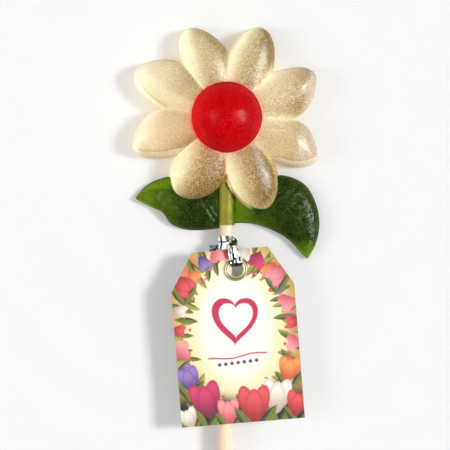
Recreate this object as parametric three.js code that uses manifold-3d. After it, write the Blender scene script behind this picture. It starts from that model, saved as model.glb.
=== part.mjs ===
// A flower lollipop lying face up: cream hard-candy petals round a red dome, a green candy stem
// with two leaves, a round wooden stick, and a card tag that a silver tie holds by a brass eyelet.
// Millimetres, +Z up. The origin is the middle of the flower on its flat back, and the stick
// runs along -Y.
import * as THREE from "three";
import { mergeVertices } from "three/addons/utils/BufferGeometryUtils.js";
import Module from "manifold-3d";

const wasm = await Module();
wasm.setup();

const DEG = Math.PI / 180;
const GAP = 0.3; // clearance between pieces that touch

// Petals. heading is the petal's direction, reach the distance from the flower's middle to the tip,
// nose the length from the widest place to the tip, width the full width, point above 1 sharpens
// the tip, and bend swings it sideways.
const PETALS = [
  { heading: 110.2, reach: 37.8, nose: 19.1, width: 19.3, point: 1.0, bend: 2.5 },
  { heading: 67.2, reach: 37.6, nose: 20.4, width: 20.0, point: 1.0, bend: 0.7 },
  { heading: 21.4, reach: 38.3, nose: 14.6, width: 19.8, point: 1.22, bend: 3.1 },
  { heading: -21.4, reach: 38.8, nose: 13.0, width: 18.5, point: 1.4, bend: -2.3 },
  { heading: -65.8, reach: 39.4, nose: 16.5, width: 20.1, point: 1.09, bend: 0 },
  { heading: -117.1, reach: 36.3, nose: 15.2, width: 22.2, point: 1.0, bend: -1.7 },
  { heading: -165.7, reach: 38.3, nose: 15.1, width: 19.8, point: 1.19, bend: 2.4 },
  { heading: 150.6, reach: 40.0, nose: 15.9, width: 19.7, point: 1.19, bend: 1.9 },
];
const PETAL_ROOT_PAST_MIDDLE = 3;
const PETAL_ROOT_FULLNESS = 0.6; // below 1 keeps the petal broad towards its root
const PETAL_WALL = 6.2;
const PETAL_DRAFT = 0.8;
const PETAL_CROWN = 5.8;
const PETAL_SIDES = 36;
const PETAL_CROWN_RINGS = 7;
// The petal's side as [height, how far it is set in]: a rounded foot, a small step, a drafted wall.
const PETAL_SIDE = [
  [0, 0.5],
  [0.5, 0],
  [1.3, 0.05],
  [1.7, 0.5],
  [PETAL_WALL, PETAL_DRAFT],
];

// Red centre, seated in a shallow socket.
const DOME_RADIUS = 13.8;
const DOME_SEAT = 7.6;
const DOME_SHOULDER = 9.8;
const DOME_CROWN = 13;
const DOME_RINGS = 13;
const SOCKET_CUT = 20;

// Stick.
const STICK_RADIUS = 2.5;
const STICK_AXIS_HEIGHT = 4.8;
const STICK_TOP_Y = -10;
const STICK_LENGTH = 150;
const STICK_EDGE = 0.4;
const BORE_RADIUS = STICK_RADIUS + GAP;
const BORE_END_Y = -60;

// Green stem round the stick, and the cream collar that meets it where the lowest petals part.
const STEM_RADIUS = 3.2;
const COLLAR_TOP_Y = -16;
const COLLAR_END_Y = -22.2;
const STEM_END_Y = -41.8;

// Leaves. Each is spanned between an upper and a lower edge, as [x, y] points from stem to tip,
// and heights are those of its middle along the way.
const LEFT_LEAF = {
  upper: [
    [1.5, -25],
    [-6, -24.6],
    [-15, -22.7],
    [-22.4, -23],
    [-28.5, -24.9],
    [-32.6, -27.8],
    [-35.2, -31.2],
  ],
  lower: [
    [1.5, -42.2],
    [-6, -43.5],
    [-15, -43.7],
    [-21.2, -41.6],
    [-25.2, -36.8],
    [-29.6, -34.8],
    [-35.1, -31.9],
  ],
  heights: [6, 6.4, 6.4, 5.8, 5, 4.2, 3],
};
const RIGHT_LEAF = {
  upper: [
    [-1.5, -25],
    [6, -24.6],
    [15, -22.7],
    [23.2, -22.4],
    [30.6, -25.8],
    [34.8, -32.6],
    [36.4, -40.7],
    [35, -49],
    [32.1, -54.3],
  ],
  lower: [
    [-1.5, -41.6],
    [6, -40.9],
    [12, -41.5],
    [17.2, -43.3],
    [21.6, -45.4],
    [25.2, -48],
    [28, -51],
    [30.1, -53.3],
    [31.8, -54.6],
  ],
  heights: [6, 6.2, 6.6, 6.8, 6.6, 6.2, 5.4, 4.4, 3],
};
const LEAF_EDGE_SHARE = 0.35; // height of the leaf's edge as a share of its middle
const LEAF_FULLNESS = 2.4; // above 2 makes the cushioned top flatter and its sides steeper
const LEAF_STEPS = 26;
const LEAF_ACROSS = 12;

// Card tag. Its own frame has its origin at the eyelet's middle, on the card's underside.
const TAG_WIDTH = 47.8;
const TAG_TOP_WIDTH = 29.4;
const TAG_ABOVE_EYELET = 7.8;
const TAG_SHOULDER_BELOW_EYELET = 7.2;
const TAG_BELOW_EYELET = 59.4;
const TAG_LEFT_OF_EYELET = 1.8; // the hole is punched off the card's middle line
const TAG_THICKNESS = 0.5;
const TAG_UNDERSIDE = 8.4;
const TAG_TURN = 4.9 * DEG;
const TAG_LEAN = 2.5 * DEG; // its right side lies lower

// Brass eyelet.
const EYELET_X = 3.9;
const EYELET_Y = -58.9;
const EYELET_RADIUS = 4.4;
const EYELET_HOLE = 2.75;
const EYELET_BARREL = 3.05;
const EYELET_RISE = 0.75;
const EYELET_BACK_RADIUS = 4.1;
const EYELET_BACK = 0.35;

// Silver tie: a band round the stick with a short tail, a twist, and a strap through the eyelet.
const FOIL = 0.45;
const BAND_TOP_Y = -46.2;
const BAND_WIDTH = 4.6;
const BAND_END_Y = BAND_TOP_Y - BAND_WIDTH;
const BAND_OUTER = BORE_RADIUS + FOIL;
const TWIST_HALF_SIZE = [1.5, 2.3, 1.1];
const TWIST_AT = [2.9, BAND_TOP_Y - 2.4, STICK_AXIS_HEIGHT + 2.7];
const TWIST_TURN = 20 * DEG;
const STRAP_STEPS = 44;
const TAIL_STEPS = 6;
const ALONG_X = [1, 0, 0];
const ALONG_Y = [0, 1, 0];
const ALONG_Z = [0, 0, 1];

const ROUND_SIDES = 32;
const DOME_SIDES = 48;
const EYELET_SIDES = 40;
const STICK_SIDES = 28;

const MATERIALS = {
  petals: new THREE.MeshStandardMaterial({ color: 0xe8d9a6, roughness: 0.35, metalness: 0 }),
  centre: new THREE.MeshStandardMaterial({ color: 0xc8060e, roughness: 0.3, metalness: 0 }),
  leaves: new THREE.MeshStandardMaterial({ color: 0x35610a, roughness: 0.3, metalness: 0 }),
  stick: new THREE.MeshStandardMaterial({ color: 0xf3d9b4, roughness: 0.7, metalness: 0 }),
  tag: new THREE.MeshStandardMaterial({ color: 0xf6e6c4, roughness: 0.5, metalness: 0 }),
  eyelet: new THREE.MeshStandardMaterial({ color: 0xd8c27e, roughness: 0.25, metalness: 1 }),
  tie: new THREE.MeshStandardMaterial({ color: 0xd5d6da, roughness: 0.15, metalness: 1 }),
};

function solidFrom(geometry) {
  const bare = geometry.index ? geometry.toNonIndexed() : geometry.clone();
  bare.deleteAttribute("normal");
  bare.deleteAttribute("uv");
  const merged = mergeVertices(bare, 1e-4);
  return new wasm.Manifold(
    new wasm.Mesh({
      numProp: 3,
      vertProperties: merged.attributes.position.array,
      triVerts: new Uint32Array(merged.index.array),
    }),
  );
}

function geometryFrom(solid) {
  const cut = solid.getMesh();
  const geometry = new THREE.BufferGeometry();
  geometry.setAttribute("position", new THREE.BufferAttribute(cut.vertProperties, 3));
  geometry.setIndex(new THREE.BufferAttribute(cut.triVerts, 1));
  return geometry;
}

// A closed skin over a stack of rings, each an array of as many points, with a point at each end.
function skinOver(rings, firstPoint, lastPoint) {
  const count = rings[0].length;
  const points = [...rings.flat(), firstPoint, lastPoint];
  const first = points.length - 2;
  const last = points.length - 1;
  const top = (rings.length - 1) * count;
  const faces = [];
  for (let i = 0; i < count; i++) {
    const next = (i + 1) % count;
    faces.push(first, next, i);
    for (let low = 0; low < top; low += count) {
      const high = low + count;
      faces.push(low + i, low + next, high + next);
      faces.push(low + i, high + next, high + i);
    }
    faces.push(top + i, top + next, last);
  }
  const geometry = new THREE.BufferGeometry();
  geometry.setAttribute("position", new THREE.Float32BufferAttribute(points.flat(), 3));
  geometry.setIndex(faces);
  return geometry;
}

// The solid inside such a skin, whichever way round its rings run.
function solidOver(rings, firstPoint, lastPoint) {
  const solid = solidFrom(skinOver(rings, firstPoint, lastPoint));
  if (solid.volume() > 0) return solid;
  const reversed = rings.map((ring) => [...ring].reverse());
  return solidFrom(skinOver(reversed, firstPoint, lastPoint));
}

// A round bar along Y, centred on the stick's axis, from one place to another.
function barSolid(radius, fromY, toY) {
  const bar = new THREE.CylinderGeometry(radius, radius, fromY - toY, ROUND_SIDES);
  return solidFrom(bar.translate(0, (fromY + toY) / 2, STICK_AXIS_HEIGHT));
}

// The value at a share of the way along a list, read smoothly between its entries.
function readAlong(values, share) {
  const curve = new THREE.SplineCurve(values.map((value, i) => new THREE.Vector2(i, value)));
  return curve.getPoint(share).y;
}

// A point in a petal's own plane, along its middle line and across it, in the flower's plane.
function inFlower(petal, along, across, height) {
  const c = Math.cos(petal.heading * DEG);
  const s = Math.sin(petal.heading * DEG);
  return [along * c - across * s, along * s + across * c, height];
}

// A point of a petal's outline, drawn in by inset and then scaled by share about its widest place.
function petalPoint(petal, turn, inset, share, height) {
  const middle = petal.reach - petal.nose;
  const towardsTip = Math.cos(turn) > 0;
  const halfLength = (towardsTip ? petal.nose : middle + PETAL_ROOT_PAST_MIDDLE) - inset;
  const halfWidth = petal.width / 2 - inset;
  const power = towardsTip ? petal.point : PETAL_ROOT_FULLNESS;
  const out = share * halfLength * Math.cos(turn);
  const swing = towardsTip ? petal.bend * (out / petal.nose) ** 2 : 0;
  const side = Math.sign(Math.sin(turn)) * Math.abs(Math.sin(turn)) ** power;
  return inFlower(petal, middle + out, share * halfWidth * side + swing, height);
}

// A petal grown outwards and upwards by margin.
function petalSolid(petal, margin) {
  const turns = Array.from({ length: PETAL_SIDES }, (_, i) => (i / PETAL_SIDES) * 2 * Math.PI);
  const ring = (inset, share, height) =>
    turns.map((turn) => petalPoint(petal, turn, inset - margin, share, height));
  const rings = PETAL_SIDE.map(([height, inset]) => ring(inset, 1, height));
  for (let k = 1; k <= PETAL_CROWN_RINGS; k++) {
    const rise = (k / (PETAL_CROWN_RINGS + 1)) * (Math.PI / 2);
    const height = PETAL_WALL + (PETAL_CROWN + margin) * Math.sin(rise);
    rings.push(ring(PETAL_DRAFT, Math.cos(rise), height));
  }
  const middle = petal.reach - petal.nose;
  const bottom = inFlower(petal, middle, 0, 0);
  const top = inFlower(petal, middle, 0, PETAL_WALL + PETAL_CROWN + margin);
  return solidOver(rings, bottom, top);
}

function flowerSolid(margin) {
  const petals = PETALS.map((petal) => petalSolid(petal, margin));
  return petals.reduce((flower, petal) => flower.add(petal));
}

function makePetals() {
  const socketRadius = DOME_RADIUS + GAP;
  const socket = new THREE.CylinderGeometry(socketRadius, socketRadius, SOCKET_CUT, DOME_SIDES);
  socket.rotateX(Math.PI / 2).translate(0, 0, DOME_SEAT - GAP + SOCKET_CUT / 2);
  const collar = barSolid(STEM_RADIUS, COLLAR_TOP_Y, COLLAR_END_Y);
  const bore = barSolid(BORE_RADIUS, STICK_TOP_Y + GAP, BORE_END_Y);
  return geometryFrom(flowerSolid(0).add(collar).subtract(solidFrom(socket)).subtract(bore));
}

function makeCentre() {
  const profile = [new THREE.Vector2(0, DOME_SEAT), new THREE.Vector2(DOME_RADIUS, DOME_SEAT)];
  for (let k = 0; k < DOME_RINGS; k++) {
    const rise = (k / DOME_RINGS) * (Math.PI / 2);
    const height = DOME_SHOULDER + DOME_CROWN * Math.sin(rise);
    profile.push(new THREE.Vector2(DOME_RADIUS * Math.cos(rise), height));
  }
  profile.push(new THREE.Vector2(0, DOME_SHOULDER + DOME_CROWN));
  return new THREE.LatheGeometry(profile, DOME_SIDES).rotateX(Math.PI / 2);
}

function edgeCurve(points) {
  const corners = points.map(([x, y]) => new THREE.Vector3(x, y, 0));
  return new THREE.CatmullRomCurve3(corners, false, "centripetal");
}

// A section across a leaf: an upright edge at each side, a cushioned top and a flat back.
function leafSection(upperEdge, lowerEdge, height) {
  const section = [];
  for (let j = 0; j <= LEAF_ACROSS; j++) {
    const side = -Math.cos((j / LEAF_ACROSS) * Math.PI);
    const place = upperEdge.clone().lerp(lowerEdge, (1 + side) / 2);
    const swell = Math.sqrt(Math.max(0, 1 - Math.abs(side) ** LEAF_FULLNESS));
    section.push([place.x, place.y, height * (LEAF_EDGE_SHARE + (1 - LEAF_EDGE_SHARE) * swell)]);
  }
  section.push([lowerEdge.x, lowerEdge.y, 0], [upperEdge.x, upperEdge.y, 0]);
  return section;
}

function leafSolid(leaf) {
  const upper = edgeCurve(leaf.upper);
  const lower = edgeCurve(leaf.lower);
  const rings = [];
  for (let i = 0; i <= LEAF_STEPS; i++) {
    const share = i / LEAF_STEPS;
    const height = readAlong(leaf.heights, share);
    rings.push(leafSection(upper.getPoint(share), lower.getPoint(share), height));
  }
  const endMiddle = (share) => {
    const place = upper.getPoint(share).lerp(lower.getPoint(share), 0.5);
    return [place.x, place.y, (readAlong(leaf.heights, share) * LEAF_EDGE_SHARE) / 2];
  };
  return solidOver(rings, endMiddle(0), endMiddle(1));
}

function makeLeaves() {
  const stem = barSolid(STEM_RADIUS, COLLAR_END_Y, STEM_END_Y);
  const bore = barSolid(BORE_RADIUS, 0, BORE_END_Y);
  const collarRoom = barSolid(STEM_RADIUS + GAP, 0, COLLAR_END_Y - GAP);
  const body = leafSolid(LEFT_LEAF).add(leafSolid(RIGHT_LEAF)).add(stem);
  return geometryFrom(body.subtract(bore).subtract(collarRoom).subtract(flowerSolid(GAP)));
}

function makeStick() {
  const half = STICK_LENGTH / 2;
  const profile = [
    new THREE.Vector2(0, -half),
    new THREE.Vector2(STICK_RADIUS - STICK_EDGE, -half),
    new THREE.Vector2(STICK_RADIUS, -half + STICK_EDGE),
    new THREE.Vector2(STICK_RADIUS, half - STICK_EDGE),
    new THREE.Vector2(STICK_RADIUS - STICK_EDGE, half),
    new THREE.Vector2(0, half),
  ];
  return new THREE.LatheGeometry(profile, STICK_SIDES);
}

function makeTag() {
  const left = -TAG_LEFT_OF_EYELET - TAG_WIDTH / 2;
  const right = left + TAG_WIDTH;
  const slope = (TAG_WIDTH - TAG_TOP_WIDTH) / 2;
  const outline = new THREE.Shape([
    new THREE.Vector2(left, -TAG_BELOW_EYELET),
    new THREE.Vector2(right, -TAG_BELOW_EYELET),
    new THREE.Vector2(right, -TAG_SHOULDER_BELOW_EYELET),
    new THREE.Vector2(right - slope, TAG_ABOVE_EYELET),
    new THREE.Vector2(left + slope, TAG_ABOVE_EYELET),
    new THREE.Vector2(left, -TAG_SHOULDER_BELOW_EYELET),
  ]);
  const hole = new THREE.Path().absarc(0, 0, EYELET_BARREL + GAP, 0, 2 * Math.PI, true);
  outline.holes.push(hole);
  return new THREE.ExtrudeGeometry(outline, {
    depth: TAG_THICKNESS,
    bevelEnabled: false,
    curveSegments: EYELET_SIDES / 2,
  });
}

// Two raised rolls with a groove between them in front, a barrel, and a plain flange behind.
function makeEyelet() {
  const front = TAG_THICKNESS + GAP;
  const back = -GAP - EYELET_BACK;
  const rise = EYELET_RISE;
  const profile = [
    new THREE.Vector2(EYELET_HOLE, back),
    new THREE.Vector2(EYELET_BACK_RADIUS, back),
    new THREE.Vector2(EYELET_BACK_RADIUS, -GAP),
    new THREE.Vector2(EYELET_BARREL, -GAP),
    new THREE.Vector2(EYELET_BARREL, front),
    new THREE.Vector2(EYELET_RADIUS, front),
    new THREE.Vector2(EYELET_RADIUS, front + rise * 0.4),
    new THREE.Vector2(EYELET_RADIUS - 0.3, front + rise * 0.8),
    new THREE.Vector2(EYELET_RADIUS - 0.6, front + rise * 0.7),
    new THREE.Vector2(EYELET_RADIUS - 0.85, front + rise * 0.45),
    new THREE.Vector2(EYELET_RADIUS - 1.1, front + rise * 0.8),
    new THREE.Vector2(EYELET_RADIUS - 1.35, front + rise),
    new THREE.Vector2(EYELET_HOLE + 0.08, front + rise * 0.75),
    new THREE.Vector2(EYELET_HOLE, front + rise * 0.3),
    new THREE.Vector2(EYELET_HOLE, back),
  ];
  return new THREE.LatheGeometry(profile, EYELET_SIDES).rotateX(Math.PI / 2);
}

// A flat strip through stations of { at, wide, lateral }, whose width lies along lateral.
function stripSolid(stations, steps) {
  const curve = new THREE.CatmullRomCurve3(stations.map((s) => new THREE.Vector3(...s.at)));
  const widths = stations.map((s) => s.wide);
  const laterals = [0, 1, 2].map((axis) => stations.map((s) => s.lateral[axis]));
  const rings = [];
  for (let i = 0; i <= steps; i++) {
    const share = i / steps;
    const middle = curve.getPoint(share);
    const forward = curve.getTangent(share);
    const lateral = new THREE.Vector3(...laterals.map((values) => readAlong(values, share)));
    const up = new THREE.Vector3().crossVectors(forward, lateral).setLength(FOIL / 2);
    const side = new THREE.Vector3().crossVectors(up, forward);
    side.setLength(readAlong(widths, share) / 2);
    const corner = (a, b) =>
      middle.clone().addScaledVector(side, a).addScaledVector(up, b).toArray();
    rings.push([corner(-1, -1), corner(1, -1), corner(1, 1), corner(-1, 1)]);
  }
  return solidOver(rings, curve.getPoint(0).toArray(), curve.getPoint(1).toArray());
}

// From the twist over the card's top edge and the eyelet, down the hole, and back under the card.
function strapSolid() {
  const x = EYELET_X;
  const y = EYELET_Y;
  const over = TAG_UNDERSIDE + TAG_THICKNESS + EYELET_RISE + 3 * GAP;
  const under = STICK_AXIS_HEIGHT;
  const stations = [
    { at: [1.9, BAND_TOP_Y - 1.6, under + 2.9], wide: 3.2, lateral: ALONG_X },
    { at: [2.3, BAND_TOP_Y - 3.4, over - 0.9], wide: 3.4, lateral: ALONG_X },
    { at: [2.8, y + 7, over - 0.1], wide: 4, lateral: ALONG_X },
    { at: [x - 0.3, y + 4, over + 0.2], wide: 4.8, lateral: ALONG_X },
    { at: [x - 0.1, y + 2.2, over - 0.2], wide: 4.2, lateral: ALONG_X },
    { at: [x, y + 1.3, TAG_UNDERSIDE], wide: 3.5, lateral: ALONG_X },
    { at: [x + 0.6, y + 1.7, under + 1.6], wide: 2.8, lateral: ALONG_X },
    { at: [x + 1, y + 4.4, under + 0.5], wide: 2.4, lateral: ALONG_X },
    { at: [x + 0.7, y + 7.2, under + 0.3], wide: 1.8, lateral: [0.7, 0, 0.7] },
    { at: [BAND_OUTER + 0.1, BAND_TOP_Y - 3.4, under + 0.3], wide: 1.6, lateral: ALONG_Z },
  ];
  return stripSolid(stations, STRAP_STEPS);
}

function tailSolid() {
  const stations = [
    { at: [-2.9, BAND_END_Y + 0.2, STICK_AXIS_HEIGHT - 0.2], wide: 2.4, lateral: ALONG_Y },
    { at: [-4.6, BAND_END_Y - 0.4, STICK_AXIS_HEIGHT], wide: 3.4, lateral: ALONG_Y },
    { at: [-6.7, BAND_END_Y - 0.6, STICK_AXIS_HEIGHT + 0.4], wide: 3.6, lateral: ALONG_Y },
  ];
  return stripSolid(stations, TAIL_STEPS);
}

function makeTie() {
  const band = barSolid(BAND_OUTER, BAND_TOP_Y, BAND_END_Y);
  const bore = barSolid(BORE_RADIUS, BAND_TOP_Y + 1, BAND_END_Y - 1);
  const twist = new THREE.SphereGeometry(1, 14, 10).scale(...TWIST_HALF_SIZE);
  twist.rotateZ(TWIST_TURN).translate(...TWIST_AT);
  const tie = band.add(solidFrom(twist)).add(strapSolid()).add(tailSolid());
  return geometryFrom(tie.subtract(bore));
}

function mesh(name, geometry) {
  const made = new THREE.Mesh(geometry, MATERIALS[name]);
  made.name = name;
  return made;
}

function makeHangTag() {
  const hangTag = new THREE.Group();
  hangTag.position.set(EYELET_X, EYELET_Y, TAG_UNDERSIDE);
  hangTag.rotation.set(0, TAG_LEAN, TAG_TURN);
  hangTag.add(mesh("tag", makeTag()), mesh("eyelet", makeEyelet()));
  return hangTag;
}

const stick = mesh("stick", makeStick());
stick.position.set(0, STICK_TOP_Y - STICK_LENGTH / 2, STICK_AXIS_HEIGHT);

const lollipop = new THREE.Group();
lollipop.add(mesh("petals", makePetals()), mesh("centre", makeCentre()));
lollipop.add(mesh("leaves", makeLeaves()), stick);
lollipop.add(mesh("tie", makeTie()), makeHangTag());

export default lollipop;
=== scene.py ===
import math

import bpy
import numpy as np
from mathutils import Euler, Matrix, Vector


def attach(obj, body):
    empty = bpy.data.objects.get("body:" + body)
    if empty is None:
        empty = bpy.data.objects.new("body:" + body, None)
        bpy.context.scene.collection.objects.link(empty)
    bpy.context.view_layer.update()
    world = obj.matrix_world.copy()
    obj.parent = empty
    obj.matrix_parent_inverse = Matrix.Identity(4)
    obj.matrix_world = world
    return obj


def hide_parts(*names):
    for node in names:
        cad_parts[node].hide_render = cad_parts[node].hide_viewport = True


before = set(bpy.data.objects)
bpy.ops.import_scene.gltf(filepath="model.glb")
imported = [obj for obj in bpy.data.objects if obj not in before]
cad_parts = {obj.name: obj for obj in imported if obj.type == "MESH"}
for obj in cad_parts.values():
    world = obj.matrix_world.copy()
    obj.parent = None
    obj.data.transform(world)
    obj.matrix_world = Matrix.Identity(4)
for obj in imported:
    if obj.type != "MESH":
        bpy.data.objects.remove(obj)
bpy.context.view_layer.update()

# The looks of a flower lollipop that lies face up: pearly cream petals, a red dome, green leaves
# on a wooden stick, and a printed card tag on a silver tie. Lengths are in millimetres up to the
# point where a mesh is made, and MM turns them into metres. Directions are degrees in plan,
# counter-clockwise from +X, and colours in whole numbers are sRGB, from 0 to 255.
MM = 0.001

# Camera: straight above, turned a little, with a fixed number of millimetres to a photo pixel.
PHOTO_PIXELS = 450
MM_PER_PIXEL = 0.39
CAMERA_PLACE = (-0.43, -41.75, 1200)
CAMERA_ROLL = 0.37
SENSOR_WIDTH = 36

# Far lamps: heading and elevation towards each, its power, how many degrees wide it looks, and
# whether it shows only in shiny surfaces or lights everything else.
LAMPS = {
    "key": (6, 41, 2.18, 15, False),
    "gleam": (4, 46, 6.5, 20, True),
    "glint": (181, 48, 1.8, 20, True),
    "fill": (187, 31, 0.72, 24, False),
}
# The room's level at stops from the horizon to straight above, as it lights things, and as shiny
# things mirror it: pale walls under a dark ceiling.
SKY_LIGHT = ((0, 0.45), (0.3, 0.45), (0.6, 0.6), (1, 0.62))
SKY_MIRRORED = ((0, 0.4), (0.2, 0.4), (0.45, 0.3), (0.8, 0.14), (1, 0.1))
FLOOR_HALF = 3000
FLOOR_SHADE = 0.84

# Petals, as in the solid: heading, reach to the tip, nose from the widest place to the tip, width,
# how pointed the nose is, where 1 is round, and how far the tip bends aside.
PETALS = (
    (110.2, 37.8, 19.1, 19.3, 1.0, 2.5),
    (67.2, 37.6, 20.4, 20.0, 1.0, 0.7),
    (21.4, 38.3, 14.6, 19.8, 1.22, 3.1),
    (-21.4, 38.8, 13.0, 18.5, 1.4, -2.3),
    (-65.8, 39.4, 16.5, 20.1, 1.09, 0),
    (-117.1, 36.3, 15.2, 22.2, 1.0, -1.7),
    (-165.7, 38.3, 15.1, 19.8, 1.19, 2.4),
    (150.6 - 360, 40.0, 15.9, 19.7, 1.19, 1.9),
)
# Tones of a pale and a deep petal, by how far the surface faces right, towards TONE_HEADING, and
# how deep, how pink and how grainy each petal is. The tones by facing are painted light and shade:
# pale where the surface faces away from the lamps on the right, tan where it faces them.
TONE_HEADING = -12.5
TONE_FACINGS = (-0.92, -0.7, -0.35, -0.05, 0.25, 0.55)
PALE_TONES = ((244, 232, 186), (252, 250, 226), (243, 234, 196), (238, 226, 186), (231, 212, 172),
              (224, 205, 166))
DEEP_TONES = ((244, 232, 186), (252, 246, 208), (231, 218, 172), (184, 158, 104), (141, 118, 60),
              (138, 112, 47))
PETAL_DEPTHS = (0.58, 0.8, 0.62, 0.64, 1, 1, 0.26, 0.06)
PETAL_BLUSHES = (0, 0.1, 0.35, 0.35, 0.15, 0.4, 0.8, 0.2)
PETAL_GRITS = (0.86, 1.2, 0.95, 0.8, 1.05, 1.1, 0.55, 0.66)
# Petals with a clear flange along part of their edge: which one, the flange's direction from the
# petal's middle, its width and how pale it is.
FLANGES = ((7, 205, 1.3, 0.2), (6, 268, 2.2, 0.5), (3, 280, 1.9, 0.75))
FLANGE_PALE = (248, 228, 198)
FLANGE_LINE = (176, 134, 92)
# Tones of single places on the petals: the two by the stem have a deep patch each, painted shade,
# and the right one, number RIGHT_BY_STEM in the list, a pale rim. The far right tips get a painted
# sheen, the valley at the top a painted gleam, the valleys a painted glow, and the roots by the
# dome painted pink light from it.
RIGHT_BY_STEM = 4
RIGHT_PATCH_SHADE = (112, 86, 34)
RIGHT_RIM = (214, 194, 140)
LEFT_PATCH_SHADE = (130, 106, 54)
FAR_RIGHT_SHEEN = (244, 236, 224)
TOP_VALLEY_GLEAM = (255, 246, 214)
VALLEY_GLOW = (255, 246, 206)
DOME_PINK_LIGHT = (238, 124, 100)
BLUSH = np.array((1, 0.9, 0.84))
PETAL_ROOT_PAST_MIDDLE = 3
PETAL_ROOT_FULLNESS = 0.6
PETAL_WALL = 6.2
PETAL_DRAFT = 0.8
PETAL_CROWN = 5.8
# The petals' side below the wall's top: height, and how far the outline is drawn in there.
PETAL_SIDE = ((5.2, 0.72), (3.8, 0.62), (2.3, 0.54), (1.75, 0.5), (1.55, 0.38), (1.42, 0.16),
              (1.25, 0.04), (0.9, 0), (0.5, 0), (0.2, 0.1), (0.05, 0.28), (0, 0.5))
PETAL_COLUMNS = 60
PETAL_ROWS = 64
VALLEY_END_RADIUS = 32
VALLEY_STEPS = 80
SOCKET_RADIUS = 13.7
SOCKET_FLOOR = 7.4
# Candy: the size of its grains, how deep their bump is and how far they lean, how much their colour
# differs, roughness, mirror gloss, how far light wanders in it, how much of the light does, and what
# each face lets through of a lamp's light.
CANDIES = {
    "cream_candy": (0.28, 0.03, 0.22, (0.14, 0.14, 0.105), 0.36, 0.46, (4, 3.4, 2.2), 0.7,
                    (0.6, 0.54, 0.5)),
    "red_candy": (0.33, 0.03, 0.24, (0.075, 0.006, 0.008), 0.22, 0.06, (3, 0.4, 0.4), 0.6,
                  (0.9, 0.76, 0.7)),
    "green_candy": (0.36, 0.035, 0.3, (0.014, 0.019, 0.006), 0.26, 0.13, (0.8, 1.4, 0.3), 0.5,
                    (0.16, 0.26, 0.06)),
}

DOME_RADIUS = 13.8
DOME_SEAT = 7.6
DOME_SHOULDER = 9.8
DOME_CROWN = 13
DOME_SIDES = 160
DOME_RINGS = 64
# The dome's red, paler with painted glow where it faces left and deeper with painted shade where it
# faces right.
DOME_RED = (192, 2, 8)
DOME_LEFT_GLOW = (222, 5, 12)
DOME_RIGHT_SHADE = (176, 2, 8)

STICK_RADIUS = 2.5
STICK_AXIS_HEIGHT = 4.8
STICK_TOP_Y = -10
STICK_END_Y = -160
STICK_CHAMFER = 0.35
STICK_SIDES = 96
STICK_STEPS = 60
WOOD_LIGHT = (250, 226, 196)
WOOD_DARK = (240, 208, 170)
BORE_CLEARANCE = 0.02
STEM_RADIUS = 3.2
STEM_STEPS = 50
BAR_SIDES = 64
COLLAR_TOP_Y = -16
COLLAR_END_Y = -22.2
STEM_END_Y = -41.8

LEFT_LEAF = {
    "upper": ((1.5, -25), (-6, -24.6), (-15, -22.7), (-22.4, -23), (-28.5, -24.9), (-32.6, -27.8),
              (-35.2, -31.2)),
    "lower": ((1.5, -42.2), (-6, -43.5), (-15, -43.7), (-21.2, -41.6), (-25.2, -36.8),
              (-29.6, -34.8), (-35.1, -31.9)),
    "heights": (6, 6.4, 6.4, 5.8, 5, 4.2, 3),
}
RIGHT_LEAF = {
    "upper": ((-1.5, -25), (6, -24.6), (15, -22.7), (23.2, -22.4), (30.6, -25.8), (34.8, -32.6),
              (36.4, -40.7), (35, -49), (32.1, -54.3)),
    "lower": ((-1.5, -41.6), (6, -40.9), (12, -41.5), (17.2, -43.3), (21.6, -45.4), (25.2, -48),
              (28, -51), (30.1, -53.3), (31.8, -54.6)),
    "heights": (6, 6.2, 6.6, 6.8, 6.6, 6.2, 5.4, 4.4, 3),
}
LEFT_VEIN = ((-4.3, -39.8), (-10.6, -31.8), (-22, -28.3), (-29, -28.2), (-35, -31.3))
RIGHT_VEIN = ((4.2, -40.2), (13.6, -34), (22.8, -29.2), (29.5, -31.2), (32.8, -38), (33.4, -46),
              (32.2, -54.5))
VEIN_DEPTH = 0.35
VEIN_LIP = 0.2
LEAF_WAVE = 0.1
LEAF_EDGE_SHARE = 0.35
LEAF_FULLNESS = 2.4
LEAF_WALL_DRAFT = 0.55
LEAF_STEPS = 150
LEAF_ACROSS = 90
# The leaves' dark green, the lighter green of painted light at tips and lit parts, and the rim's green.
LEAF_DARK = (34, 52, 0)
LEAF_LIT = (110, 142, 0)
LEAF_RIM = (40, 62, 14)
# The stem, its crest with painted shade and a painted highlight halfway along, a notch at its top
# painted as shadow, the seam beside it painted as shade, and the petals' candy that laps over its
# top: the right petal's foot and the left petal's edge.
STEM_COLOUR = (142, 138, 36)
STEM_CREST_SHADE = (126, 122, 28)
STEM_CREST_LIT = (152, 146, 44)
STEM_NOTCH_SHADOW = (60, 42, 0)
STEM_SEAM_SHADE = (44, 52, 8)
RIGHT_FOOT = (196, 176, 112)
LEFT_LAP = (150, 108, 50)

TAG_WIDTH = 47.8
TAG_TOP_WIDTH = 29.4
TAG_ABOVE_EYELET = 7.8
TAG_SHOULDER_BELOW_EYELET = 7.2
TAG_BELOW_EYELET = 59.4
TAG_LEFT_OF_EYELET = 1.8
TAG_THICKNESS = 0.5
TAG_CELL = 0.22
TAG_ROWS_BELOW = 220
TAG_ROWS_ABOVE = 64
CARD_BACK = (246, 244, 238)
PRINT_WHITE = (246, 243, 234)
PRINT_YELLOW = (248, 232, 178)
PRINT_OCHRE = (200, 160, 74)
PRINT_ROSE = (222, 104, 92)
PRINT_DARK = (20, 30, 22)
PRINT_EDGE = 0.2
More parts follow.
